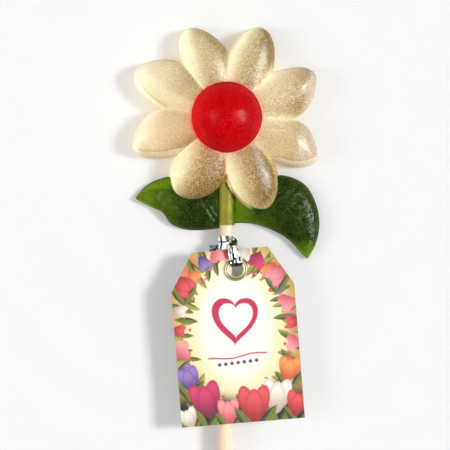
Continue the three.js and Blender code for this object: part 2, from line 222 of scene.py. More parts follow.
# Light and dark of the print's leaves and of its blooms.
PRINT_LEAVES = (((184, 176, 74), (98, 92, 20)), ((128, 138, 48), (34, 50, 16)))
PRINT_BLOOMS = (
    ((236, 84, 84), (160, 18, 38)),
    ((246, 158, 158), (204, 66, 92)),
    ((158, 128, 194), (76, 50, 124)),
    ((244, 160, 84), (206, 74, 36)),
    ((222, 54, 110), (124, 8, 58)),
    ((246, 240, 226), (190, 166, 146)),
)
# The garland's rings, all about PRINT_MIDDLE_X: how many motifs are on each, the height of its
# middle, its half width and its half height.
PRINT_MIDDLE_X = -1.8
LEAF_RING = (90, -24, 22.5, 33)
BUD_RING = (90, -25, 22.5, 33)
BLOOM_RING = (26, -26, 22.3, 33.2)
# The larger tulips: place, size, turn and which bloom.
PRINT_TULIPS = (
    ((-21.5, -41), 5, 14, 2),
    ((17.5, -40), 5, -12, 3),
    ((-15.5, -49.5), 7.2, 10, 4),
    ((12, -50), 6.8, -8, 5),
    ((-7, -54.5), 5, 4, 1),
    ((19.5, -53.5), 5, -14, 0),
    ((3, -52.5), 7.4, -2, 0),
    ((-22.8, -56), 4.2, 16, 5),
    ((-21, -4.5), 4.6, -130, 0),
    ((15.5, -3), 4.4, 130, 1),
)
# A tulip's petals, in units of its size: middle, lean, half width and lift.
TULIP_PETALS = ((-0.36, 16, 0.42, 0.1), (0.36, -16, 0.42, 0.1), (0, 0, 0.46, -0.12))
EMBLEM_RASPBERRY = (202, 20, 70)
EMBLEM_PLUM = (92, 44, 112)
EMBLEM_HEARTS = (((-2, -20), 9), ((-1.6, -19.6), 6.6))
EMBLEM_TURN = -4
EMBLEM_DOTS = 7
TAG_TURN = 4.9
TAG_LEAN = 2.5
EYELET_PLACE = (3.9, -58.9, 8.4)
EYELET_RADIUS = 4.4
EYELET_HOLE = 2.75
EYELET_BARREL = 3.05
EYELET_LIP = 4.1
EYELET_SIDES = 96
HOLE_SIDES = 72
# The brass, with painted shade towards the tag's foot and in the grooves between its rolls.
BRASS = (224, 212, 162)
BRASS_LOW_SHADE = (180, 160, 94)
BRASS_GROOVE_SHADE = (74, 64, 28)

BAND_TOP_Y = -46.2
BAND_WIDTH = 4.6
BAND_RADIUS = 3.2
FOIL = 0.12
# Foil facets take tones between dark and bright, painted reflections of the room; the twist's bright
# tone is gold and the tail's is duller.
FOIL_REFLECTED_BRIGHT = np.array((0.93, 0.93, 0.95))
FOIL_REFLECTED_DARK = np.array((0.02, 0.02, 0.025))
FOIL_GOLD = np.array((0.62, 0.52, 0.22))
FOIL_SHADED = np.array((0.32, 0.37, 0.37))
# How often along a strip a painted bright streak may start or end.
STREAK_BREAK = 0.22
# The band's columns by their direction round the stick, its levels as share of its width, swell and
# turn, and how bright each facet's painted reflection is, from 0 to 9, a row of columns at a time.
BAND_TURNS = (10, 30, 45, 62, 90, 120, 138, 160, 182, 215, 270, 325)
BAND_LEVELS = ((0, 0, 8), (0.42, 0.15, -3), (0.52, -0.15, -3), (1, 0.1, 4))
BAND_SHADES = ("120190999333", "000010000111", "521990999333")
TWIST_HALF_SIZE = (1.5, 2.3, 1.1)
TWIST_PLACE = (2.9, BAND_TOP_Y - 2.4, STICK_AXIS_HEIGHT + 2.7)
TWIST_TURN = 20


def linear(red, green, blue):
    """An sRGB colour in 0 to 255 as linear light."""
    shares = np.array((red, green, blue)) / 255
    return np.where(shares <= 0.04045, shares / 12.92, ((shares + 0.055) / 1.055) ** 2.4)


def fade(value, low, high):
    """0 below low, 1 above high, and smooth between."""
    share = np.clip((value - low) / (high - low), 0, 1)
    return share * share * (3 - 2 * share)


def bell(value, width):
    """1 where value is 0, and fading away on both sides over about width."""
    return np.exp(-((value / width) ** 2))


def towards(x, y, heading, low, high):
    """Fades in towards a heading, between two cosines of the angle to it."""
    return fade(np.cos(np.arctan2(y, x) - math.radians(heading)), low, high)


def blend(first, second, share):
    """Colours between two, where share is a number for each point."""
    return first + (second - first) * np.asarray(share)[:, None]


def paint(colour, *layers):
    """Lays sRGB colours over each other, each as strongly as its cover says at each point."""
    for shade, cover in layers:
        colour = blend(colour, linear(*shade), cover)
    return colour


def closed_in(low, high, is_below, steps=30):
    """Bounds halved again and again round the places where is_below stops being true."""
    for _ in range(steps):
        middle = (low + high) / 2
        below = is_below(middle)
        low = np.where(below, middle, low)
        high = np.where(below, high, middle)
    return low, high


def circle(count):
    """Directions all round, in radians."""
    return np.arange(count) / count * 2 * math.pi


def flat_ring(radius, turns, height):
    return np.column_stack([radius * np.cos(turns), radius * np.sin(turns), 0 * turns + height])


def stick_ring(radius, turns, y):
    """Points round the stick's axis."""
    return np.column_stack([radius * np.cos(turns), 0 * turns + y,
                            STICK_AXIS_HEIGHT + radius * np.sin(turns)])


def turned(x, y, degrees):
    """Places along axes that are turned by degrees."""
    c = math.cos(math.radians(degrees))
    s = math.sin(math.radians(degrees))
    return x * c + y * s, y * c - x * s


def heading_vector(heading, elevation=0):
    a = math.radians(heading)
    e = math.radians(elevation)
    return Vector((math.cos(a) * math.cos(e), math.sin(a) * math.cos(e), math.sin(e)))


# Meshes.


def make_mesh(name, points, faces):
    mesh = bpy.data.meshes.new(name)
    mesh.from_pydata((np.asarray(points) * MM).tolist(), [], faces)
    mesh.validate()
    mesh.update()
    piece = bpy.data.objects.new(name, mesh)
    bpy.context.scene.collection.objects.link(piece)
    return piece


def skin_faces(rings, count):
    """Quads between rings of count points each, and a fan at each end to the two last points."""
    faces = []
    first = rings * count
    last = first + 1
    top = (rings - 1) * count
    for i in range(count):
        after = (i + 1) % count
        faces.append((first, after, i))
        faces.append((top + i, top + after, last))
        for low in range(0, top, count):
            faces.append((low + i, low + after, low + count + after, low + count + i))
    return faces


def skin(name, rings, first_point, last_point):
    """A closed mesh over a stack of rings, with its faces pointing out."""
    rings = np.asarray(rings, float)
    points = np.vstack([rings.reshape(-1, 3), first_point, last_point])
    return turn_out(make_mesh(name, points, skin_faces(*rings.shape[:2])))


def loop_of_rings(name, rings):
    """A closed mesh round a hole, through rings of which the last meets the first."""
    rings = np.asarray(rings, float)
    rows, count = rings.shape[:2]
    faces = []
    for j in range(rows):
        below = j * count
        above = (j + 1) % rows * count
        for i in range(count):
            after = (i + 1) % count
            faces.append((below + i, below + after, above + after, above + i))
    return turn_out(make_mesh(name, rings.reshape(-1, 3), faces))


def turn_out(piece):
    """Flips a closed mesh whose faces point in, and returns the piece."""
    mesh = piece.data
    mesh.calc_loop_triangles()
    co = coordinates(piece)
    corners = np.array([t.vertices for t in mesh.loop_triangles])
    a, b, c = co[corners[:, 0]], co[corners[:, 1]], co[corners[:, 2]]
    if np.einsum("ij,ij->i", a, np.cross(b, c)).sum() < 0:
        mesh.flip_normals()
    mesh.update()
    return piece


def coordinates(piece):
    """A mesh's points, in millimetres."""
    flat = np.empty(len(piece.data.vertices) * 3, np.float32)
    piece.data.vertices.foreach_get("co", flat)
    return flat.reshape(-1, 3).astype(float) / MM


def normals(piece):
    flat = np.empty(len(piece.data.vertices) * 3, np.float32)
    piece.data.vertex_normals.foreach_get("vector", flat)
    return flat.reshape(-1, 3).astype(float)


def facing_right(piece):
    """How far each point's surface faces right, towards TONE_HEADING."""
    return normals(piece) @ np.array(heading_vector(TONE_HEADING))


def bar(name, radius, from_y, to_y, steps=1):
    """A round bar along Y on the stick's axis."""
    levels = np.linspace(from_y, to_y, steps + 1)
    return stick_skin(name, [stick_ring(radius, circle(BAR_SIDES), y) for y in levels])


def stick_skin(name, rings):
    """A closed mesh over rings round the stick's axis, with flat ends."""
    return skin(name, rings, *((0, ring[0][1], STICK_AXIS_HEIGHT) for ring in (rings[0], rings[-1])))


def bore(from_y, to_y):
    return bar("bore", STICK_RADIUS + BORE_CLEARANCE, from_y, to_y)


def combine(piece, tool, operation):
    """Joins or cuts piece with tool, which is then removed."""
    cut = piece.modifiers.new("cut", "BOOLEAN")
    cut.operation = operation
    cut.solver = "MANIFOLD"
    cut.object = tool
    graph = bpy.context.evaluated_depsgraph_get()
    made = bpy.data.meshes.new_from_object(piece.evaluated_get(graph))
    piece.modifiers.clear()
    piece.data = made
    bpy.data.objects.remove(tool)


def smooth(piece, sharp_angle):
    piece.data.shade_smooth()
    piece.data.set_sharp_from_angle(angle=math.radians(sharp_angle))


def tint(piece, colours, glow=0, grit=1):
    """Stores what the piece's material reads at each point: its colour, how much it glows and how
    strongly its grains show."""
    layer = piece.data.color_attributes.new(name="tint", type="FLOAT_COLOR", domain="POINT")
    rgba = np.column_stack([colours, np.broadcast_to(glow, len(colours))]).astype(np.float32)
    layer.data.foreach_set("color", rgba.ravel())
    grains = piece.data.attributes.new(name="grit", type="FLOAT", domain="POINT")
    grains.data.foreach_set("value", np.broadcast_to(grit, len(colours)).astype(np.float32))


def dress(piece, material, replaced):
    piece.data.materials.clear()
    piece.data.materials.append(material)
    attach(piece, "root")
    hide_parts(replaced)


def curve_points(places, shares):
    """Points of a smooth curve through places, at shares of the way along its list."""
    p = np.asarray(places, float)
    if p.ndim == 1:
        p = np.column_stack([np.arange(len(p)), p])
    p = np.vstack([2 * p[0] - p[1], p, 2 * p[-1] - p[-2]])
    place = np.clip(np.asarray(shares, float), 0, 1 - 1e-9) * (len(p) - 3)
    i = place.astype(int)
    t = (place - i)[:, None]
    p0, p1, p2, p3 = p[i], p[i + 1], p[i + 2], p[i + 3]
    d0, d1, d2 = (np.linalg.norm(b - a, axis=1)[:, None] ** 0.5
                  for a, b in ((p0, p1), (p1, p2), (p2, p3)))
    leave = ((p1 - p0) / d0 - (p2 - p0) / (d0 + d1) + (p2 - p1) / d1) * d1
    arrive = ((p2 - p1) / d1 - (p3 - p1) / (d1 + d2) + (p3 - p2) / d2) * d1
    bow = -3 * p1 + 3 * p2 - 2 * leave - arrive
    return p1 + leave * t + bow * t**2 + (2 * p1 - 2 * p2 + leave + arrive) * t**3


# Materials.


class Nodes:
    """A material's node tree, with short calls to add and link nodes."""

    def __init__(self, name):
        self.material = bpy.data.materials.new(name)
        self.material.use_nodes = True
        self.tree = self.material.node_tree
        self.shader = self.tree.nodes["Principled BSDF"]

    def add(self, kind, **settings):
        node = self.tree.nodes.new(kind)
        for name, value in settings.items():
            setattr(node, name, value)
        return node

    def link(self, source, target):
        self.tree.links.new(source, target)

    def connect(self, value, socket):
        """Links a socket, or sets it where the value is a number, a vector or a colour."""
        if isinstance(value, bpy.types.NodeSocket):
            self.link(value, socket)
        elif socket.type == "RGBA":
            socket.default_value = (*value, 1)
        else:
            socket.default_value = value

    def put(self, **values):
        """Sets the shader's own sockets, named with underscores for spaces."""
        for name, value in values.items():
            self.shader.inputs[name.replace("_", " ")].default_value = value

    def place(self, stretch=(1, 1, 1)):
        where = self.add("ShaderNodeTexCoord")
        scaled = self.add("ShaderNodeMapping")
        scaled.inputs["Scale"].default_value = stretch
        self.link(where.outputs["Object"], scaled.inputs["Vector"])
        return scaled.outputs["Vector"]

    def noise(self, size, detail=2, stretch=(1, 1, 1), roughness=0.5):
        """Noise whose lumps are about size millimetres across."""
        node = self.add("ShaderNodeTexNoise")
        node.inputs["Scale"].default_value = 1 / (size * MM)
        node.inputs["Detail"].default_value = detail
        node.inputs["Roughness"].default_value = roughness
        self.link(self.place(stretch), node.inputs["Vector"])
        return node.outputs["Fac"]

    def cells(self, size):
        """A random colour for each of the cells, which are about size millimetres across."""
        node = self.add("ShaderNodeTexVoronoi")
        node.inputs["Scale"].default_value = 1 / (size * MM)
        self.link(self.place(), node.inputs["Vector"])
        return node.outputs["Color"]

    def range(self, value, from_low, from_high, to_low, to_high):
        node = self.add("ShaderNodeMapRange")
        for socket, number in zip(node.inputs[1:5], (from_low, from_high, to_low, to_high)):
            socket.default_value = number
        self.link(value, node.inputs["Value"])
        return node.outputs["Result"]

    def mix(self, share, first, second):
        node = self.add("ShaderNodeMix", data_type="RGBA")
        self.connect(share, node.inputs[0])
        self.connect(first, node.inputs[6])
        self.connect(second, node.inputs[7])
        return node.outputs[2]

    def scaled(self, colour, amount):
        """A colour or vector multiplied by a number."""
        node = self.add("ShaderNodeVectorMath", operation="SCALE")
        self.link(colour, node.inputs[0])
        self.connect(amount, node.inputs["Scale"])
        return node.outputs[0]

    def math(self, operation, first, second, kind="ShaderNodeMath"):
        node = self.add(kind, operation=operation)
        self.connect(first, node.inputs[0])
        self.connect(second, node.inputs[1])
        return node.outputs[0]

    def vector(self, operation, first, second):
        return self.math(operation, first, second, "ShaderNodeVectorMath")

    def steepness(self, level, steep):
        """0 where the surface lies level, and 1 where it is steep, by its normal's height."""
        split = self.add("ShaderNodeSeparateXYZ")
        self.link(self.add("ShaderNodeNewGeometry").outputs["Normal"], split.inputs[0])
        return self.range(split.outputs["Z"], steep, level, 1, 0)

    def facets(self, chance, tilt, normal):
        """Leans a normal at random in each cell, as the grains of sugar in a surface do."""
        lean = self.scaled(self.vector("SUBTRACT", chance, (0.5, 0.5, 0.5)), tilt)
        leaning = self.add("ShaderNodeVectorMath", operation="NORMALIZE")
        self.link(self.vector("ADD", lean, normal), leaning.inputs[0])
        return leaning.outputs[0]

    def stored(self, name):
        """What tint() stored at each point under this name."""
        return self.add("ShaderNodeAttribute", attribute_name=name).outputs

    def tinted(self, texture, from_low, from_high, dim, bright):
        """The points' tint, dimmed and brightened by a texture."""
        level = self.range(texture, from_low, from_high, dim, bright)
        return self.scaled(self.stored("tint")["Color"], level)

    def bump(self, height, depth, below=None):
        """Bump whose full height is depth millimetres, over another bump if given."""
        node = self.add("ShaderNodeBump")
        node.inputs["Distance"].default_value = depth * MM
        self.link(height, node.inputs["Height"])
        if below is not None:
            self.link(below, node.inputs["Normal"])
        return node.outputs["Normal"]

    def feed(self, **sources):
        for name, source in sources.items():
            self.link(source, self.shader.inputs[name.replace("_", " ")])

    def let_lamps_through(self, passed):
        """Lets a share of a lamp's light, in this colour, through each face, as clear candy does."""
        clear = self.add("ShaderNodeBsdfTransparent")
        clear.inputs["Color"].default_value = (*passed, 1)
        rays = self.add("ShaderNodeLightPath")
        both = self.add("ShaderNodeMixShader")
        self.link(rays.outputs["Is Shadow Ray"], both.inputs[0])
        self.link(self.shader.outputs[0], both.inputs[1])
        self.link(clear.outputs[0], both.inputs[2])
        self.link(both.outputs[0], self.tree.nodes["Material Output"].inputs["Surface"])


def candy_material(name):
    """Grainy hard candy, coloured by the points' tint, which glows as strongly as the tint's alpha
    says, a painted glow. Its steep rims are matt."""
    grain, depth, tilt, fleck, roughness, gloss, reach, weight, passed = CANDIES[name]
    made = Nodes(name)
    tint = made.stored("tint")
    fine = made.noise(grain, 1)
    coarse = made.noise(grain * 5, 3, roughness=0.7)
    chance = made.cells(grain)
    uneven = made.math("ADD", made.range(fine, 0.35, 0.65, -0.5, 0.5),
                       made.range(coarse, 0.3, 0.7, -0.06, 0.06))
    bright = made.math("POWER", made.range(chance, 0.1, 0.9, 0, 1), 2.5)
    uneven = made.math("ADD", uneven, made.range(bright, 0, 1, -0.7, 1.9))
    uneven = made.math("MULTIPLY", uneven, made.stored("grit")["Fac"])
    spread = made.vector("MULTIPLY", uneven, fleck)
    colour = made.vector("MAXIMUM", made.vector("ADD", tint["Color"], spread), (0, 0, 0))
    made.feed(Base_Color=colour, Emission_Color=colour, Emission_Strength=tint["Alpha"])
    rough = made.range(chance, 0.2, 0.8, roughness - 0.1, roughness + 0.12)
    rim = made.math("MULTIPLY", made.steepness(0.6, 0.25), 0.45)
    relief = made.bump(fine, depth, below=made.bump(coarse, depth))
    made.feed(Roughness=made.math("ADD", rough, rim), Normal=made.facets(chance, tilt, relief))
    made.put(Subsurface_Weight=weight, Subsurface_Scale=MM, Subsurface_Radius=reach)
    made.put(IOR=1.45, Specular_IOR_Level=gloss)
    made.let_lamps_through(passed)
    return made.material


def wood_material():
    made = Nodes("pale_wood")
    fibres = made.noise(0.35, 3, (1, 0.035, 1))
    bands = made.noise(1.6, 2, (1, 0.02, 1))
    shade = made.range(bands, 0.3, 0.7, 0, 1)
    colour = made.mix(shade, linear(*WOOD_LIGHT), linear(*WOOD_DARK))
    dark = made.range(fibres, 0.25, 0.75, 0.9, 1.04)
    made.feed(Base_Color=made.scaled(colour, dark), Normal=made.bump(fibres, 0.06))
    made.put(Roughness=0.62, Subsurface_Weight=0.15, Subsurface_Scale=MM)
    made.put(Subsurface_Radius=(1.0, 0.6, 0.4))
    return made.material


def card_material():
    made = Nodes("printed_card")
    fibre = made.noise(0.3, 3)
    made.feed(Base_Color=made.tinted(fibre, 0.3, 0.7, 0.985, 1.01), Normal=made.bump(fibre, 0.004))
    made.put(Roughness=0.42)
    return made.material


def brass_material():
    made = Nodes("pale_brass")
    brush = made.noise(0.25, 2)
    colour = made.tinted(brush, 0.35, 0.65, 0.94, 1.02)
    made.feed(Base_Color=colour, Roughness=made.range(brush, 0.3, 0.7, 0.35, 0.5))
    made.put(Metallic=0.3)
    return made.material


def foil_material():
    made = Nodes("silver_foil")
    wrinkle = made.noise(0.8, 2)
    colour = made.tinted(wrinkle, 0.3, 0.7, 0.85, 1.1)
    # The facets' painted tones also glow a little: a painted glow.
    made.feed(Base_Color=colour, Emission_Color=colour)
    made.feed(Normal=made.bump(wrinkle, 0.03), Roughness=made.range(wrinkle, 0.3, 0.7, 0.08, 0.2))
    made.put(Metallic=0.4, Emission_Strength=0.3)
    return made.material


# Petals.


def petal_share(petal, x, y, inset):
    """How far out places lie in a petal: under 1 inside its outline, which inset draws in."""
    heading, reach, nose, width, point, bend = petal
    middle = reach - nose
    out, aside = turned(x, y, heading)
    out = out - middle
    in_nose = out > 0
    swing = np.where(in_nose, bend * (out / nose) ** 2, 0)
    across = np.abs(aside - swing) / (width / 2 - inset)
    along = np.abs(out) / (np.where(in_nose, nose, middle + PETAL_ROOT_PAST_MIDDLE) - inset)
    power = 2 / np.where(in_nose, point, PETAL_ROOT_FULLNESS)
    least = np.maximum(across, along)
    low, high = closed_in(least, least * 1.5 + 1e-6,
                          lambda share: (across / share) ** power + (along / share) ** 2 > 1, 24)
    return (low + high) / 2


def share_at(petal, radius, turn, inset):
    return petal_share(petal, radius * np.cos(turn), radius * np.sin(turn), inset)


def flower_radius(turns, inset):
    """Distance from the middle to the flower's outline along each direction."""
    best = 0 * turns
    for petal in PETALS:
        radius = closed_in(0 * turns, 0 * turns + 50,
                           lambda radius: share_at(petal, radius, turns, inset) < 1)[0]
        best = np.maximum(best, radius)
    return best


def valley_turn(petal, after, radius):
    """Direction at which two neighbouring petals are equally high, at each radius."""
    low, high = (0 * radius + math.radians(side[0]) for side in (after, petal))
    low, high = closed_in(low, high, lambda turn: share_at(petal, radius, turn, PETAL_DRAFT)
                          >= share_at(after, radius, turn, PETAL_DRAFT))
    return (low + high) / 2


def valley(petal, after):
    """Radii out to where the outlines of two neighbouring petals cross, and the valley's direction
    at each."""
    radii = np.linspace(SOCKET_RADIUS, VALLEY_END_RADIUS, VALLEY_STEPS)
    turns = valley_turn(petal, after, radii)
    end = np.interp(1, share_at(petal, radii, turns, PETAL_DRAFT), radii)
    inside = np.append(radii[radii < end], end)
    return inside, np.interp(inside, radii, turns)


def flower_height(x, y):
    share = np.min([petal_share(petal, x, y, PETAL_DRAFT) for petal in PETALS], axis=0)
    return PETAL_WALL + PETAL_CROWN * np.sqrt(np.clip(1 - share**2, 0, 1))


def petal_valleys():
    """The valleys round the flower, with each one's direction less than the one before it."""
    ordered = sorted(PETALS, key=lambda petal: -petal[0])
    ordered.append((ordered[0][0] - 360, *ordered[0][1:]))
    return [valley(*pair) for pair in zip(ordered, ordered[1:])]


def petal_rings():
    """Rings from the socket's floor over the crowns and down the sides to the flat back. Its
    columns follow the valleys between the petals."""
    valleys = petal_valleys()
    valleys.append((valleys[0][0], valleys[0][1] - 2 * math.pi))
    step = np.arange(PETAL_COLUMNS) / PETAL_COLUMNS
    share = 0.5 - 0.5 * np.cos(math.pi * step)
    outer = np.concatenate([left[1][-1] + (right[1][-1] - left[1][-1]) * share
                            for left, right in zip(valleys, valleys[1:])])
    rim = flower_radius(outer, PETAL_DRAFT)
    rows = []
    for i in range(PETAL_ROWS + 1):
        radius = SOCKET_RADIUS + (rim - SOCKET_RADIUS) * math.sin(math.pi / 2 * i / PETAL_ROWS)
        turn = outer.copy()
        for k, (left, right) in enumerate(zip(valleys, valleys[1:])):
            part = slice(k * PETAL_COLUMNS, (k + 1) * PETAL_COLUMNS)
            for (radii, turns), weight in ((left, 1 - share), (right, share)):
                turn[part] += weight * (np.interp(radius[part], radii, turns) - turns[-1])
        x, y = radius * np.cos(turn), radius * np.sin(turn)
        height = flower_height(x, y) if i < PETAL_ROWS else np.full_like(x, PETAL_WALL)
        rows.append(np.column_stack([x, y, height]))
    socket = rows[0] * (1, 1, 0) + (0, 0, SOCKET_FLOOR)
    rings = [socket * (0.5, 0.5, 1), socket * (0.99, 0.99, 1), *rows]
    rings += [flat_ring(flower_radius(outer, inset), outer, height) for height, inset in PETAL_SIDE]
    rings.append(rings[-1] * (0.6, 0.6, 1))
    return rings


def tones(colours, facing):
    """Tones between colours at TONE_FACINGS."""
    stations = np.array([linear(*colour) for colour in colours])
    return np.column_stack([np.interp(facing, TONE_FACINGS, band) for band in stations.T])


def flange_tint(colour, x, y, shares, nearest):
    """Paints the flanges, each with a fine tan line where the petal's side meets it."""
    for k, heading, width, pale in FLANGES:
        middle = np.array(heading_vector(PETALS[k][0]))[:2] * (PETALS[k][1] - PETALS[k][2])
        dx, dy = x - middle[0], y - middle[1]
        gap = np.hypot(dx, dy) * (1 / np.maximum(shares[k], 0.01) - 1)
        here = towards(dx, dy, heading, 0.35, 0.85)
        here *= fade(nearest[1] - shares[k], 0, 0.1) * fade(gap, -1.6, -1.2)
        line = bell(gap - width * here, 0.24) * fade(here, 0.1, 0.5)
        colour = paint(colour, (FLANGE_PALE, pale * here * fade(width * here - gap, 0, 0.3)),
                       (FLANGE_LINE, 0.45 * line))
    return colour


def petal_depth(x, y, normal, facing, closeness):
    """How deep the petals' tone is, from 0 to 1: it differs from petal to petal and from root to
    root, and the steep rims are deeper, but not where they face left. The deeper roots left of the
    dome are painted shade from the dome, and the deeper steep rims and the parts near the middle
    that face right are painted shade from the lamps on the right."""
    depth = np.array(PETAL_DEPTHS) @ closeness
    root = fade(DOME_RADIUS - np.hypot(x, y), -19, -5)
    depth *= 1 - 0.5 * fade(x, 6, 14) * fade(y, -12, -2) * root
    depth += 0.15 * fade(facing, 0, 0.25) * fade(x, -4, 4) - 0.2 * fade(y, 27, 33) * fade(x, 6, 12)
    depth *= 1 - 0.4 * towards(x, y, 258, 0.95, 1) * root
    depth += 0.4 * towards(x, y, 190, -0.1, 0.6) * root
    depth += 0.2 * towards(x, y, 140, 0.94, 1) * root
    depth -= 0.25 * towards(x, y, 180, 0.84, 0.98) * root
    depth *= 1 - 0.25 * towards(x, y, -10, 0.985, 1)
    rim = fade(0.95 - normal[:, 2], 0, 0.35) * (1 - fade(-facing, 0.3, 0.65))
    return np.clip(depth + 0.2 * rim, 0, 1)


def patch_tint(colour, x, y, shares, nearest):
    """Painted shade as deep patches on the two petals by the stem, with a pale rim on the right one, a
    painted sheen at the far right and a painted gleam in the valley at the top."""
    share = shares[RIGHT_BY_STEM]
    rim = fade(share, 0.8, 1) * fade(nearest[1] - share, -0.05, 0.1) * fade(x, 8, 12)
    # Painted shade over the right petal's flank, kept off its pale rim.
    dark = 0.45 * fade(-y, 17, 21) * fade(x, 10.5, 13.5) * (1 - 0.35 * fade(-y, 26.5, 29))
    dark *= (1 - rim) * (1 - fade(x, 14.2, 16.5) * fade(y, -28, -24))
    return paint(
        colour,
        (LEFT_PATCH_SHADE, 0.45 * fade(-y, 22, 31) * fade(-x, 4, 12)),
        (RIGHT_PATCH_SHADE, dark),
        (RIGHT_RIM, (0.3 + 0.25 * fade(y, -26, -19)) * rim),
        (FAR_RIGHT_SHEEN, 0.4 * fade(x - 0.15 * y, 27, 31)),
        (TOP_VALLEY_GLEAM, 0.2 * bell(x + 2.4, 2) * bell(y - 19.5, 3.5)),
    )


def petal_tint(piece):
    """Colours, glow and grit. A petal is palest where it faces left and in the valleys, tan where it
    faces right and at its steep rim, and pink by the dome: painted light and shade from the lamps on
    the right, painted glow in the valleys and painted red light from the dome. It glows where it
    faces left and a little in the valleys, a painted glow, and its grains show most where it faces
    right, painted sparkle where the lamps' gleam falls."""
    x, y = coordinates(piece)[:, :2].T
    normal = normals(piece)
    facing = facing_right(piece)
    shares = np.array([petal_share(petal, x, y, PETAL_DRAFT) for petal in PETALS])
    nearest = np.sort(shares, axis=0)
    closeness = np.maximum(1.1 - shares, 0) ** 3 + 1e-6
    closeness /= closeness.sum(0)
    depth = petal_depth(x, y, normal, facing, closeness)
    # Painted light and shade: pale where the surface faces away from the lamps, tan where it faces them.
    colour = blend(tones(PALE_TONES, facing), tones(DEEP_TONES, facing), depth)
    colour = patch_tint(colour, x, y, shares, nearest)
    colour = colour * blend(np.ones(3), BLUSH, np.array(PETAL_BLUSHES) @ closeness)
    # Painted light and shade: paler on flanks facing -Y, deeper on flanks facing +Y.
    colour *= (1.02 - 0.22 * np.clip(normal[:, 1], -0.7, 0.7))[:, None]
    colour = flange_tint(colour, x, y, shares, nearest)
    # Painted light: a glow along the valleys, pink light from the dome round its foot, and a glow where
    # the surface faces away from the lamps.
    between = nearest[1] - nearest[0]
    away = fade(-facing, 0.17, 0.68)
    reach = np.hypot(x, y) - DOME_RADIUS
    groove = bell(between, 0.13) * fade(reach, -0.5, 2)
    thin = bell(between, 0.45) * fade(x, 4, 16)
    thin *= (1 - 0.6 * fade(reach, 10, 22)) * (1 - 0.7 * fade(-y, 8, 14))
    reach = np.maximum(reach, 0)
    side = np.maximum(np.cos(np.arctan2(y, x) - math.radians(245)), 0)
    pink = 0.36 * np.exp(-reach / 0.7) + 0.26 * side**2 * np.exp(-reach / 4)
    colour = paint(colour, (VALLEY_GLOW, groove * 0.4 * (1 - away)), (DOME_PINK_LIGHT, pink), (VALLEY_GLOW, 0.45 * thin))
    glow = 0.34 * away + 0.08 * groove * (1 - away) + 0.08 * thin
    # Grains show most where the surface faces the lamps: painted sparkle where their gleam falls.
    lit = 0.45 + 0.55 * fade(facing, -0.5, 0.1) + 0.2 * fade(facing, 0.15, 0.4)
    shown = np.clip(colour[:, 1] / 0.3, 0.35, 1)
    return colour, glow, np.array(PETAL_GRITS) @ closeness * lit * shown


def make_petals():
    flower = skin("petals", petal_rings(), (0, 0, SOCKET_FLOOR), (0, 0, 0))
    combine(flower, bar("collar", STEM_RADIUS, COLLAR_TOP_Y, COLLAR_END_Y), "UNION")
    combine(flower, bore(STICK_TOP_Y + 0.1, COLLAR_END_Y - 9), "DIFFERENCE")
    smooth(flower, 35)
    tint(flower, *petal_tint(flower))
    flower.name = "petal_candy"
    dress(flower, candy_material("cream_candy"), "petals")


# Dome.


def make_dome():
    profile = [(DOME_RADIUS * share, DOME_SEAT) for share in (0.4, 0.8, 0.97)]
    profile += [(DOME_RADIUS, DOME_SEAT + 0.4), (DOME_RADIUS, DOME_SHOULDER - 0.6)]
    for k in range(DOME_RINGS):
        rise = k / DOME_RINGS * math.pi / 2
        profile.append((DOME_RADIUS * math.cos(rise), DOME_SHOULDER + DOME_CROWN * math.sin(rise)))
    turns = circle(DOME_SIDES)
    wave = 1 + 0.004 * np.sin(3 * turns + 0.7) + 0.003 * np.sin(5 * turns + 2)
    rings = [flat_ring(radius * wave, turns, height) for radius, height in profile]
    dome = skin("dome_candy", rings, (0, 0, DOME_SEAT), (0, 0, DOME_SHOULDER + DOME_CROWN))
    smooth(dome, 50)
    # Painted light and shade: paler and glowing where the dome faces left or -Y, deeper where it faces
    # right or +Y.
    facing = facing_right(dome)
    colour = paint(linear(*DOME_RED), (DOME_LEFT_GLOW, fade(-facing, 0.2, 0.9)),
                   (DOME_RIGHT_SHADE, fade(facing, 0.1, 0.7)))
    colour *= (1.03 - 0.08 * normals(dome)[:, 1])[:, None]
    tint(dome, colour, 0.09 * fade(-facing, 0.1, 0.8))
    dress(dome, candy_material("red_candy"), "centre")


# Leaves and stem.


def leaf_piece(name, leaf):
    """A leaf with drafted sides, a cushioned top and a flat back."""
    shares = np.linspace(0, 1, LEAF_STEPS + 1)
    upper = curve_points(leaf["upper"], shares)
    lower = curve_points(leaf["lower"], shares)
    heights = curve_points(leaf["heights"], shares)[:, 1]
    side = -np.cos(np.linspace(0, 1, LEAF_ACROSS + 1) * math.pi)
    swell = np.sqrt(np.clip(1 - np.abs(side) ** LEAF_FULLNESS, 0, 1))
    rings = []
    for up, low, height in zip(upper, lower, heights):
        width = np.linalg.norm(up - low)
        draft = min(LEAF_WALL_DRAFT / width, 0.2)
        across = 0.5 + side * (0.5 - draft)
        plan = up + (low - up) * across[:, None]
        level = height * (LEAF_EDGE_SHARE + (1 - LEAF_EDGE_SHARE) * swell)
        top = np.column_stack([plan, level])
        under = [(*(up + (low - up) * share), 0) for share in (1, 0.75, 0.5, 0.25, 0)]
        rings.append(np.vstack([top, under]))
    return skin(name, rings, rings[0].mean(0), rings[-1].mean(0))


def distance_to(curve, x, y):
    """How far places are, in plan, from a smooth curve through a list of points."""
    line = curve_points(curve, np.linspace(0, 1, 160))
    return np.min(np.hypot(x[:, None] - line[:, 0], y[:, None] - line[:, 1]), axis=1)


